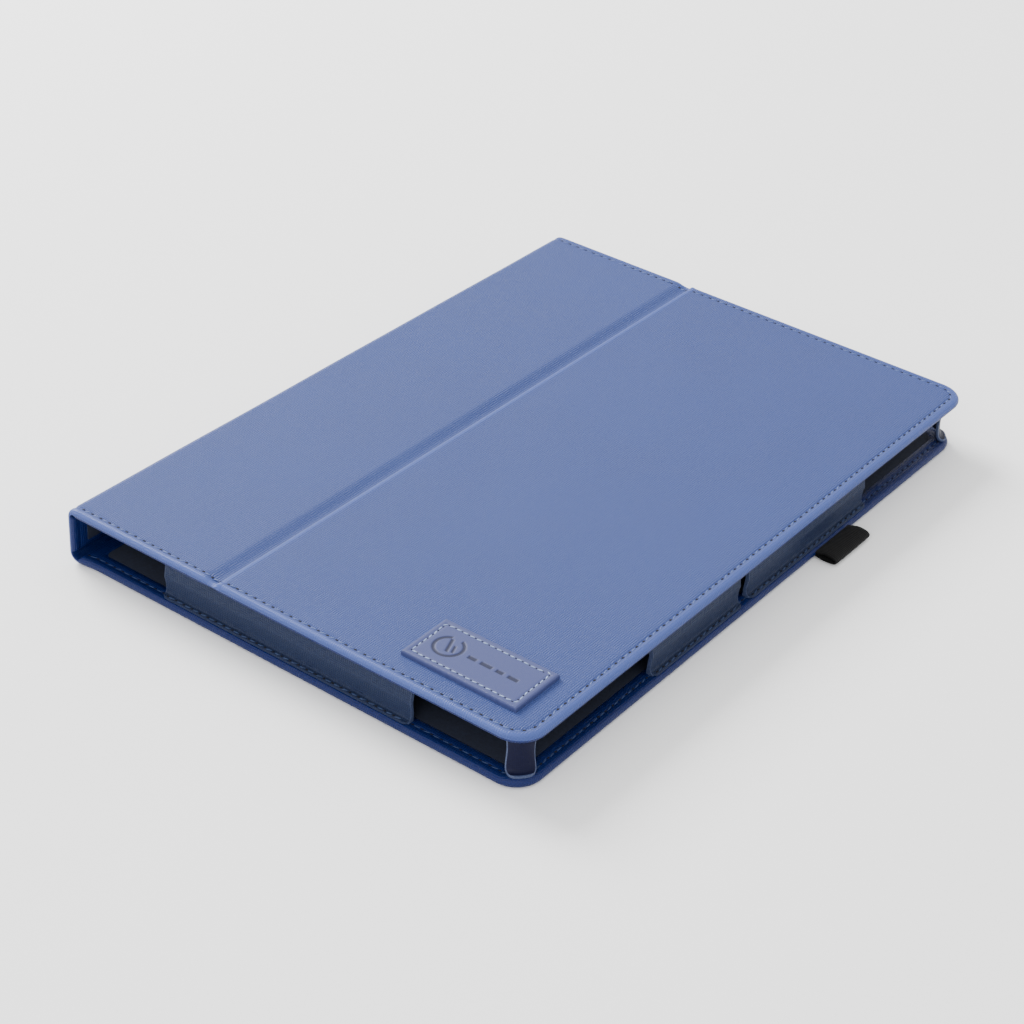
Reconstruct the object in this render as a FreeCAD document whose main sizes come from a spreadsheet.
"""Folio case for a ten-inch tablet, as a parametric FreeCAD document.

The closed case lies on its back cover. +X runs from the spine to the free edge, +Y along the spine,
+Z up through the front cover. The origin is the middle of the back cover's underside. Millimetres.

Every stiff panel is a sandwich: an outer leather skin whose hems turn in round a greyboard stiffener,
and a soft lining let in flush on the inner face. Four panels (back, spine, narrow front, wide front)
hinge on leather rolls. A framed pocket for the tablet stands on the back panel.
"""
import FreeCAD
import Part
import os
import re
import Sketcher
from FreeCAD import Placement, Rotation, Vector

SIZES = {
    # the closed case seen from above
    "case_width": 181.0,        # spine's outer face to the front cover's free edge
    "case_length": 260.0,       # along the spine
    "corner_round": 12.0,       # rounding of the two corners at the free edge
    "hinge_corner": 2.0,        # rounding of the corners beside a hinge
    "back_setback": 1.0,        # how far the back's three free edges lie inside the front cover's
    # one panel's layers
    "skin_thick": 0.8,
    "board_thick": 1.6,
    "lining_thick": 0.6,
    "rim_round": 1.3,           # rounding of a panel's rim
    "hem_width": 6.0,           # how far the skin's hem covers the inner face
    "spine_hem": 3.0,
    # hinges
    "hinge_edge": 2.0,          # hinge axis to the nearest edge of a panel
    "strip_tab": 3.0,           # how far a hinge strip reaches in between the spine's layers
    "fold_place": 61.5,         # spine's outer face to the fold's axis
    "fold_width": 5.5,          # width of the groove
    "fold_strip": 1.2,          # thickness of the leather left in the groove
    "joint_gap": 0.3,           # clearance between two pieces that turn against each other
    # tablet pocket
    "bay_height": 11.0,         # lining of the back to the underside of the frame
    "wall_inset": 4.5,          # back panel's edge to the outer face of the pocket's walls
    "spine_mouth": 6.5,         # spine's outer face to the frame's edge, where the tablet slides in
    "wall_thick": 1.4,
    "flange_width": 2.6,
    "flange_thick": 0.8,
    "flange_round": 2.0,
    "bend_round": 0.5,
    "frame_board": 1.0,
    "frame_bar": 11.0,          # width of the frame's bars
    "frame_hem": 2.5,
    "window_round": 3.0,
    "cover_gap": 0.8,           # top of the frame to the front cover's lining
    # pocket walls, measured along the case from its middle
    "side_wall_from": -51.5,
    "side_wall_to": 46.5,
    "edge_wall_from": -61.0,
    "edge_wall_gap": -12.0,
    "edge_gap_width": 5.0,
    "edge_wall_to": 65.5,
    # corner straps
    "strap_angle": 40.0,
    "strap_width": 10.0,
    "strap_thick": 1.2,
    "strap_margin": 0.1,        # frame's rounded corner to the strap's outer corners, under it
    "strap_foot": 3.4,
    # camera window in the back
    "camera_radius": 7.0,
    "camera_from_edge": 21.0,
    "camera_from_end": 20.0,
    "camera_hem": 2.5,
    # stylus loop
    "loop_middle": 42.0,        # along the free edge, from the middle of the case
    "loop_width": 22.0,
    "web_thick": 0.7,
    "tab_depth": 5.0,           # how far the loop's ends are sewn in
    "loop_axis": 0.5,           # free edge to the line that the loop bends about
    "loop_reach": 6.8,
    "loop_height": 3.6,
    "loop_base": 0.1,           # height of the loop's underside over the table
    # name patch
    "patch_length": 42.0,
    "patch_depth": 21.0,
    "patch_thick": 1.6,
    "patch_from_edge": 32.0,    # free edge to the patch's middle
    "patch_from_end": 20.3,
    "patch_round": 1.2,
    "patch_rim": 0.4,
    # closure magnets and the steel that they pull on
    "magnet_length": 20.0,
    "magnet_width": 5.0,
    "magnet_thick": 1.0,
    "magnet_spread": 120.0,     # distance between the two magnets
    "keeper_thick": 0.6,
    "stand_keeper_place": 41.0,
    "stand_keeper_width": 10.0,
    "stand_keeper_length": 170.0,
}

doc = FreeCAD.newDocument("tablet_folio_case")
sheet = doc.addObject("Spreadsheet::Sheet", "Sizes")
for row, (alias, value) in enumerate(SIZES.items(), start=1):
    sheet.set(f"A{row}", alias)
    sheet.set(f"B{row}", str(value))
    sheet.setAlias(f"B{row}", alias)
doc.recompute()

# lengths that follow from the driving dimensions, written once as expressions
EDGE = "(case_width / 2)"
END = "(case_length / 2)"
BACK_EDGE = f"({EDGE} - back_setback)"
PANEL = "(skin_thick + board_thick + lining_thick)"
FRAME = "(skin_thick + frame_board + lining_thick)"
FRAME_FROM = f"({PANEL} + bay_height)"
COVER_FROM = f"({FRAME_FROM} + {FRAME} + cover_gap)"
TOP = f"({COVER_FROM} + {PANEL})"
HINGE_X = f"(-{EDGE} + {PANEL} / 2)"
REAR_HINGE_Z = f"({PANEL} / 2)"
FRONT_HINGE_Z = f"({TOP} - {PANEL} / 2)"
FOLD_X = f"(-{EDGE} + fold_place)"
FOLD_Z = f"({COVER_FROM} + lining_thick + fold_strip / 2)"
WALL_X = f"({EDGE} - wall_inset)"
WALL_Y = f"({END} - wall_inset)"
STRIP_END = f"({END} - skin_thick)"
MOUTH_X = f"(-{EDGE} + spine_mouth)"
STRAP_REACH = "(sqrt((corner_round - wall_inset)^2 - (strap_width / 2)^2) - strap_margin)"

NODES = {}


def bound(text):
    """An expression in the sheet's words, as FreeCAD reads it."""
    return re.sub(r"[a-z_]+", lambda word: f"Sizes.{word.group()}" if word.group() in SIZES else word.group(), text)


def bind(item, **places):
    """Binds properties to expressions; a double underscore stands for a dot."""
    for place, text in places.items():
        item.setExpression(place.replace("__", "."), bound(text))


def node(name, item):
    """Marks a finished object as one sub-part of the case."""
    item.Label = name
    NODES[name] = item
    return item


def new_body(name):
    return doc.addObject("PartDesign::Body", name)


def sketch_on(body, plane, height):
    """An empty sketch on one of the body's own planes, at a height over it."""
    sketch = body.newObject("Sketcher::SketchObject", "Sketch")
    origin_plane = next(item for item in body.Origin.OriginFeatures if item.Role == plane)
    sketch.AttachmentSupport = [(origin_plane, "")]
    sketch.MapMode = "FlatFace"
    bind(sketch, AttachmentOffset__Base__z=height)
    return sketch


def draw_rectangle(sketch, left, right, low, high):
    """A rectangle whose four sides lie at the given expressions."""
    first = sketch.GeometryCount
    corners = [Vector(0, 0, 0), Vector(1, 0, 0), Vector(1, 1, 0), Vector(0, 1, 0)]
    for index in range(4):
        sketch.addGeometry(Part.LineSegment(corners[index], corners[(index + 1) % 4]), False)
    for index in range(4):
        sketch.addConstraint(Sketcher.Constraint("Coincident", first + index, 2, first + (index + 1) % 4, 1))
        direction = "Horizontal" if index % 2 == 0 else "Vertical"
        sketch.addConstraint(Sketcher.Constraint(direction, first + index))
    sides = [
        ("DistanceX", 0, 1, left),
        ("DistanceX", 0, 2, right),
        ("DistanceY", 0, 1, low),
        ("DistanceY", 1, 2, high),
    ]
    for kind, line, end, text in sides:
        number = sketch.addConstraint(Sketcher.Constraint(kind, -1, 1, first + line, end, 1.0))
        bind(sketch, **{f"Constraints[{number}]": text})


def add_slab(body, plane, height, thick, outline):
    """Pads a rectangle, outline being its left, right, low and high sides."""
    sketch = sketch_on(body, plane, height)
    draw_rectangle(sketch, *outline)
    pad = body.newObject("PartDesign::Pad", "Pad")
    pad.Profile = sketch
    bind(pad, Length=thick)
    doc.recompute()
    return pad


def cut_window(body, plane, height, thick, outline):
    """Pockets a rectangle down through the body, from above its top face."""
    sketch = sketch_on(body, plane, f"{height} + {thick}")
    draw_rectangle(sketch, *outline)
    pocket = body.newObject("PartDesign::Pocket", "Pocket")
    pocket.Profile = sketch
    bind(pocket, Length=thick)
    before = body.Tip.BaseFeature.Shape.Volume if body.Tip.BaseFeature else None
    doc.recompute()
    check_cut(body, before)
    return pocket


def cut_round(body, height, thick, radius):
    """Pockets the camera's round window down through a layer of the back."""
    sketch = sketch_on(body, "XY_Plane", f"{height} + {thick}")
    sketch.addGeometry(Part.Circle(Vector(0, 0, 0), Vector(0, 0, 1), 1.0), False)
    bounds = [
        (Sketcher.Constraint("Radius", 0, 1.0), radius),
        (Sketcher.Constraint("DistanceX", -1, 1, 0, 3, 1.0), f"{EDGE} - camera_from_edge"),
        (Sketcher.Constraint("DistanceY", -1, 1, 0, 3, 1.0), f"{END} - camera_from_end"),
    ]
    for constraint, text in bounds:
        number = sketch.addConstraint(constraint)
        bind(sketch, **{f"Constraints[{number}]": text})
    pocket = body.newObject("PartDesign::Pocket", "Pocket")
    pocket.Profile = sketch
    bind(pocket, Length=thick)
    before = body.Tip.BaseFeature.Shape.Volume
    doc.recompute()
    check_cut(body, before)
    return pocket


def check_cut(body, before):
    """Stops the build if a pocket took nothing away."""
    if before is not None and body.Shape.Volume > before - 1e-3:
        raise RuntimeError(f"a pocket in {body.Name} cut nothing")


def edges_like(body, test):
    """Names of the body's edges that pass a test."""
    return [f"Edge{number}" for number, edge in enumerate(body.Shape.Edges, start=1) if test(edge)]


def round_edges(body, radius, test):
    """Fillets the edges that pass a test."""
    fillet = body.newObject("PartDesign::Fillet", "Fillet")
    fillet.Base = (body.Tip.BaseFeature or body.Tip, edges_like(body, test))
    bind(fillet, Radius=radius)
    doc.recompute()
    return fillet


def runs_along(edge, axis):
    """True for a straight edge parallel to axis 'x', 'y' or 'z'."""
    box = edge.BoundBox
    spans = {"x": box.XLength, "y": box.YLength, "z": box.ZLength}
    return spans.pop(axis) > 0.1 and max(spans.values()) < 1e-4


def cut(name, base, *tools):
    """base less each of the tools."""
    for number, tool in enumerate(tools):
        step = doc.addObject("Part::Cut", f"{name}_cut{number}")
        step.Base = base
        step.Tool = tool
        base = step
    doc.recompute()
    return base


def fuse(name, *items):
    """The items joined, or side by side where they don't touch."""
    joined = doc.addObject("Part::MultiFuse", name)
    joined.Shapes = list(items)
    doc.recompute()
    return joined


def box(name, x, y, z, length, width, height):
    """A Part::Box from its low corner and sizes, all expressions."""
    item = doc.addObject("Part::Box", name)
    bind(item, Length=length, Width=width, Height=height)
    bind(item, Placement__Base__x=x, Placement__Base__y=y, Placement__Base__z=z)
    return item


def rod_along_y(name, x, z, radius, half_length):
    """A Part::Cylinder along Y, centred on the case's middle."""
    item = doc.addObject("Part::Cylinder", name)
    item.Placement = Placement(Vector(0, 0, 0), Rotation(Vector(1, 0, 0), -90))
    bind(item, Radius=radius, Height=f"2 * {half_length}")
    bind(item, Placement__Base__x=x, Placement__Base__y=f"-{half_length}", Placement__Base__z=z)
    return item


def inset(outline, by, by_hinge=None):
    """An outline moved inwards; by_hinge is for the two sides that face a hinge."""
    left, right, low, high = outline
    side = by_hinge or by
    return (f"{left} + ({side})", f"{right} - ({side})", f"{low} + ({by})", f"{high} - ({by})")


# ---- the stiff panels -------------------------------------------------------------------------------

BACK_OUTLINE = (f"{HINGE_X} + hinge_edge", BACK_EDGE, f"-({END} - back_setback)", f"{END} - back_setback")
NARROW_OUTLINE = (f"{HINGE_X} + hinge_edge", f"{FOLD_X} - fold_width / 2", f"-{END}", END)
WIDE_OUTLINE = (f"{FOLD_X} + fold_width / 2", EDGE, f"-{END}", END)
FRAME_OUTLINE = (MOUTH_X, WALL_X, f"-{WALL_Y}", WALL_Y)


def flat_layer(name, height, thick, outline, free_round, hinge_round):
    """A flat layer; free_round rounds the corners at its free edge, hinge_round those at the other."""
    body = new_body(name)
    add_slab(body, "XY_Plane", height, thick, outline)
    free_x = body.Shape.BoundBox.XMax - 1e-3
    hinge_x = body.Shape.BoundBox.XMin + 1e-3
    round_edges(body, free_round, lambda edge: runs_along(edge, "z") and edge.BoundBox.Center.x > free_x)
    round_edges(body, hinge_round, lambda edge: runs_along(edge, "z") and edge.BoundBox.Center.x < hinge_x)
    return body


def round_rims(body, radius, low, high, axis="z"):
    """Rounds every edge of the two faces that lie across the axis at low and high."""
    def on_a_face(edge):
        span = {"x": (edge.BoundBox.XMin, edge.BoundBox.XMax), "z": (edge.BoundBox.ZMin, edge.BoundBox.ZMax)}[axis]
        return any(abs(span[0] - face) < 1e-3 and abs(span[1] - face) < 1e-3 for face in (low, high))
    round_edges(body, radius, on_a_face)


def flat_panel(name, height, outline, inner_up, free_round):
    """Skin block, board and lining of a level panel. inner_up is True where the lining faces up."""
    block = flat_layer(f"{name}_block", height, PANEL, outline, free_round, "hinge_corner")
    face = block.Shape.BoundBox
    round_rims(block, "rim_round", face.ZMin, face.ZMax)
    board_from = f"{height} + skin_thick" if inner_up else f"{height} + lining_thick"
    lining_from = f"{height} + skin_thick + board_thick" if inner_up else height
    board = flat_layer(
        f"{name}_board", board_from, "board_thick", inset(outline, "skin_thick"),
        f"{free_round} - skin_thick", "hinge_corner - skin_thick",
    )
    lining = flat_layer(
        f"{name}_lining", lining_from, "lining_thick", inset(outline, "hem_width"),
        f"max({free_round} - hem_width; hinge_corner)", "hinge_corner",
    )
    return block, board, lining


def magnet_pair(name, x_from, z_from, width, thick):
    """Two bars side by side along the free edge."""
    bars = []
    for side, sign in (("near", -1), ("far", 1)):
        middle = f"{sign} * magnet_spread / 2"
        bars.append(box(f"{name}_{side}", x_from, f"{middle} - magnet_length / 2", z_from, width, "magnet_length", thick))
    return fuse(name, *bars)


def build_back():
    """The panel that the tablet's back rests on, with the camera's window and the stylus loop's tab."""
    block, board, lining = flat_panel("back", "0", BACK_OUTLINE, True, "corner_round")
    cut_round(block, "0", PANEL, "camera_radius")
    cut_round(board, "skin_thick", "board_thick", "camera_radius + skin_thick")
    cut_round(lining, "skin_thick + board_thick", "lining_thick", "camera_radius + camera_hem")

    tab = new_body("loop_tab")
    tab_reach = f"{BACK_EDGE} + loop_axis + web_thick"
    add_slab(tab, "XY_Plane", "skin_thick", "2 * web_thick", (
        f"{BACK_EDGE} - tab_depth", tab_reach,
        "loop_middle - loop_width / 2", "loop_middle + loop_width / 2",
    ))
    tab_end = tab.Shape.BoundBox.XMax - 1e-3
    round_edges(tab, "web_thick * 0.98", lambda edge: runs_along(edge, "y") and edge.BoundBox.Center.x > tab_end)
    node("stylus_loop_tab", tab)

    keeper = box(
        "stand_keeper", "stand_keeper_place - stand_keeper_width / 2", "-stand_keeper_length / 2", "skin_thick",
        "stand_keeper_width", "stand_keeper_length", "keeper_thick",
    )
    node("stand_keeper", keeper)
    node("back_lining", lining)
    node("back_board", cut("back_board", board, tab, keeper))
    node("back_skin", cut("back_skin", block, board, lining, tab))


def build_front():
    """The narrow and wide halves of the front cover, with the closure magnets and the name patch."""
    narrow_strip, wide_strip = build_fold()
    block, board, lining = flat_panel("narrow", COVER_FROM, NARROW_OUTLINE, False, "hinge_corner")
    node("narrow_front_lining", lining)
    node("narrow_front_board", cut("narrow_board", board, narrow_strip))
    node("narrow_front_skin", cut("narrow_skin", block, board, lining, narrow_strip))

    block, board, lining = flat_panel("wide", COVER_FROM, WIDE_OUTLINE, False, "corner_round")
    magnets = magnet_pair(
        "closure_magnets", f"{WALL_X} - frame_bar / 2 - magnet_width / 2",
        f"{COVER_FROM} + lining_thick", "magnet_width", "magnet_thick",
    )
    node("closure_magnets", magnets)
    node("wide_front_lining", lining)
    node("wide_front_board", cut("wide_board", board, magnets, wide_strip))
    node("wide_front_skin", cut("wide_skin", block, board, lining, wide_strip))

    patch = new_body("name_patch")
    middle_x = f"{EDGE} - patch_from_edge"
    middle_y = f"-{END} + patch_from_end"
    add_slab(patch, "XY_Plane", TOP, "patch_thick", (
        f"{middle_x} - patch_length / 2", f"{middle_x} + patch_length / 2",
        f"{middle_y} - patch_depth / 2", f"{middle_y} + patch_depth / 2",
    ))
    round_edges(patch, "patch_round", lambda edge: runs_along(edge, "z"))
    top = patch.Shape.BoundBox.ZMax
    round_rims(patch, "patch_rim", top, top)
    node("name_patch", patch)


def build_spine():
    """The upright spine, and the leather rolls that hinge it to the back and to the front."""
    low = f"{REAR_HINGE_Z} + hinge_edge"
    high = f"{FRONT_HINGE_Z} - hinge_edge"
    outline = (f"-{END}", END, low, high)

    block = new_body("spine_block")
    add_slab(block, "YZ_Plane", f"-{EDGE}", PANEL, outline)
    face = block.Shape.BoundBox
    round_rims(block, "rim_round", face.XMin, face.XMax, "x")
    board = new_body("spine_board")
    add_slab(board, "YZ_Plane", f"-{EDGE} + skin_thick", "board_thick", inset(outline, "skin_thick", "skin_thick"))
    lining = new_body("spine_lining")
    add_slab(lining, "YZ_Plane", f"-{EDGE} + skin_thick + board_thick", "lining_thick", (
        f"-{END} + hem_width", f"{END} - hem_width", f"{low} + spine_hem", f"{high} - spine_hem",
    ))

    strips = []
    for name, axis_z, tab_from in (
        ("rear_hinge_strip", REAR_HINGE_Z, REAR_HINGE_Z),
        ("front_hinge_strip", FRONT_HINGE_Z, f"{FRONT_HINGE_Z} - hinge_edge - strip_tab"),
    ):
        roll = rod_along_y(f"{name}_roll", HINGE_X, axis_z, f"{PANEL} / 2", STRIP_END)
        tab = box(
            f"{name}_tab", f"-{EDGE} + skin_thick", f"-{STRIP_END}", tab_from,
            "board_thick", f"2 * {STRIP_END}", "hinge_edge + strip_tab",
        )
        strips.append(node(name, fuse(name, roll, tab)))
    node("spine_lining", lining)
    node("spine_board", cut("spine_board", board, *strips))
    node("spine_skin", cut("spine_skin", block, board, lining, *strips))


def build_fold():
    """The thin leather left in the front cover's groove, parted along the fold's axis."""
    reach = "fold_width / 2 + strip_tab"
    roll = rod_along_y("fold_roll", FOLD_X, FOLD_Z, "fold_strip / 2", STRIP_END)
    leaf = box(
        "fold_leaf", f"{FOLD_X} - ({reach})", f"-{STRIP_END}", f"{FOLD_Z} - fold_strip / 2",
        reach, f"2 * {STRIP_END}", "fold_strip",
    )
    start = "fold_strip / 2 + joint_gap"
    opposite = box(
        "fold_strip_wide", f"{FOLD_X} + {start}", f"-{STRIP_END}", f"{FOLD_Z} - fold_strip / 2",
        f"{reach} - ({start})", f"2 * {STRIP_END}", "fold_strip",
    )
    return node("fold_strip_narrow", fuse("fold_strip_narrow", roll, leaf)), node("fold_strip_wide", opposite)


# ---- the tablet's pocket ----------------------------------------------------------------------------

def ring_layer(name, height, thick, by, corner):
    """One layer of the frame: its outline moved in by an amount, and its window grown by the same."""
    body = flat_layer(name, height, thick, inset(FRAME_OUTLINE, by), corner, "hinge_corner")
    cut_window(body, "XY_Plane", height, thick, inset(FRAME_OUTLINE, f"frame_bar - {by}"))
    outline = body.Shape.BoundBox
    round_edges(body, "window_round", lambda edge: is_window_corner(edge, outline))
    return body


def is_window_corner(edge, outline):
    """True for an upright straight edge at the frame's window, away from its outline."""
    middle = edge.BoundBox.Center
    to_sides = min(outline.XMax - middle.x, middle.x - outline.XMin)
    to_ends = min(outline.YMax - middle.y, middle.y - outline.YMin)
    outline_margin = 4.0
    return runs_along(edge, "z") and min(to_sides, to_ends) > outline_margin


def build_frame():
    """The frame round the tablet's screen, and the steel bars that the closure magnets pull on."""
    arc = "corner_round - wall_inset"
    block = ring_layer("frame_block", FRAME_FROM, FRAME, "0", arc)
    face = block.Shape.BoundBox
    round_rims(block, "bend_round", face.ZMax, face.ZMax)
    board = ring_layer("frame_board", f"{FRAME_FROM} + lining_thick", "frame_board", "skin_thick", f"{arc} - skin_thick")
    lining = ring_layer("frame_lining", FRAME_FROM, "lining_thick", "frame_hem", f"{arc} - frame_hem")
    keepers = magnet_pair(
        "frame_keepers", f"{WALL_X} - frame_bar / 2 - magnet_width / 2",
        f"{FRAME_FROM} + lining_thick + frame_board - keeper_thick", "magnet_width", "keeper_thick",
    )
    node("frame_keepers", keepers)
    node("frame_lining", lining)
    node("frame_board", cut("frame_board_cut", board, keepers))
    node("frame_skin", cut("frame_skin", block, board, lining))


def end_wall(name, sign):
    """A long wall at one end of the case, its flange turned out over the back panel's hem."""
    outer = f"{sign} * {WALL_Y}"
    inner = f"{sign} * ({WALL_Y} - wall_thick)"
    flange = f"{sign} * ({WALL_Y} + flange_width)"
    wall_sides = (inner, outer) if sign > 0 else (outer, inner)
    foot_sides = (inner, flange) if sign > 0 else (flange, inner)
    body = new_body(name)
    add_slab(body, "XY_Plane", PANEL, "bay_height", ("side_wall_from", "side_wall_to", *wall_sides))
    add_slab(body, "XY_Plane", PANEL, "flange_thick", ("side_wall_from", "side_wall_to", *foot_sides))
    foot = body.Shape.BoundBox.YMax if sign > 0 else body.Shape.BoundBox.YMin
    round_edges(body, "flange_round", lambda edge: runs_along(edge, "z") and abs(edge.BoundBox.Center.y - foot) < 1e-3)
    return node(name, body)


def edge_wall(name, start, stop):
    """A wall along the free edge, from start to stop."""
    body = new_body(name)
    add_slab(body, "XY_Plane", PANEL, "bay_height", (f"{WALL_X} - wall_thick", WALL_X, start, stop))
    add_slab(body, "XY_Plane", PANEL, "flange_thick", (f"{WALL_X} - wall_thick", f"{WALL_X} + flange_width", start, stop))
    foot = body.Shape.BoundBox.XMax
    round_edges(body, "flange_round", lambda edge: runs_along(edge, "z") and abs(edge.BoundBox.Center.x - foot) < 1e-3)
    return node(name, body)


def corner_strap(name, sign):
    """A strap across one corner of the free edge, standing square to a line from the corner's centre."""
    body = new_body(name)
    half = ("-strap_width / 2", "strap_width / 2")
    add_slab(body, "XY_Plane", PANEL, "bay_height", (f"{STRAP_REACH} - strap_thick", STRAP_REACH, *half))
    add_slab(body, "XY_Plane", PANEL, "flange_thick", (
        f"{STRAP_REACH} - strap_thick", f"{STRAP_REACH} + strap_foot", *half,
    ))
    foot = body.Shape.BoundBox.XMax
    round_edges(body, "flange_round", lambda edge: runs_along(edge, "z") and abs(edge.BoundBox.Center.x - foot) < 1e-3)
    body.Placement = Placement(Vector(0, 0, 0), Rotation(Vector(0, 0, 1), 40.0))
    bind(
        body, Placement__Base__x=f"{EDGE} - corner_round", Placement__Base__y=f"{sign} * ({END} - corner_round)",
        Placement__Rotation__Angle=f"{sign} * strap_angle",
    )
    return node(name, body)


def build_pocket():
    """Frame, walls and corner straps of the pocket."""
    build_frame()
    end_wall("near_wall", -1)
    end_wall("far_wall", 1)
    edge_wall("edge_wall_long", "edge_wall_gap + edge_gap_width", "edge_wall_to")
    edge_wall("edge_wall_short", "edge_wall_from", "edge_wall_gap")
    corner_strap("near_corner_strap", -1)
    corner_strap("far_corner_strap", 1)


def build_loop():
    """The elastic stylus loop, a flattened ring clear of its sewn tab."""
    start = f"{BACK_EDGE} + loop_axis + web_thick + joint_gap"
    sides = ("loop_middle - loop_width / 2", "loop_middle + loop_width / 2")
    outer = new_body("loop_outside")
    add_slab(outer, "XY_Plane", "loop_base", "loop_height", (start, f"{start} + loop_reach", *sides))
    round_edges(outer, "loop_height * 0.49", lambda edge: runs_along(edge, "y"))
    inner = new_body("loop_inside")
    add_slab(inner, "XY_Plane", "loop_base + web_thick", "loop_height - 2 * web_thick", (
        f"{start} + web_thick", f"{start} + loop_reach - web_thick", *sides,
    ))
    round_edges(inner, "(loop_height - 2 * web_thick) * 0.49", lambda edge: runs_along(edge, "y"))
    node("stylus_loop", cut("stylus_loop", outer, inner))


def check_and_write():
    """Stops on any failed object or bad solid, then writes one STEP file for each sub-part."""
    doc.recompute()
    failed = [item.Name for item in doc.Objects if {"Invalid", "Error"} & set(item.State)]
    if failed:
        raise RuntimeError(f"these objects failed: {failed}")
    for name, item in NODES.items():
        shape = item.Shape
        if shape.isNull() or not shape.isValid() or not shape.Solids or shape.Volume <= 0:
            raise RuntimeError(f"{name} is not a valid solid")
    os.makedirs("parts", exist_ok=True)
    for name, item in NODES.items():
        item.Shape.exportStep(os.path.join("parts", f"{name}.step"))
        extent = item.Shape.BoundBox
        print(f"{name:22s} {len(item.Shape.Solids)} solid, {item.Shape.Volume / 1000:8.2f} cm3, "
              f"x {extent.XMin:7.1f} {extent.XMax:7.1f}  y {extent.YMin:7.1f} {extent.YMax:7.1f}  "
              f"z {extent.ZMin:6.2f} {extent.ZMax:6.2f}")


build_back()
build_front()
build_spine()
build_pocket()
build_loop()
check_and_write()
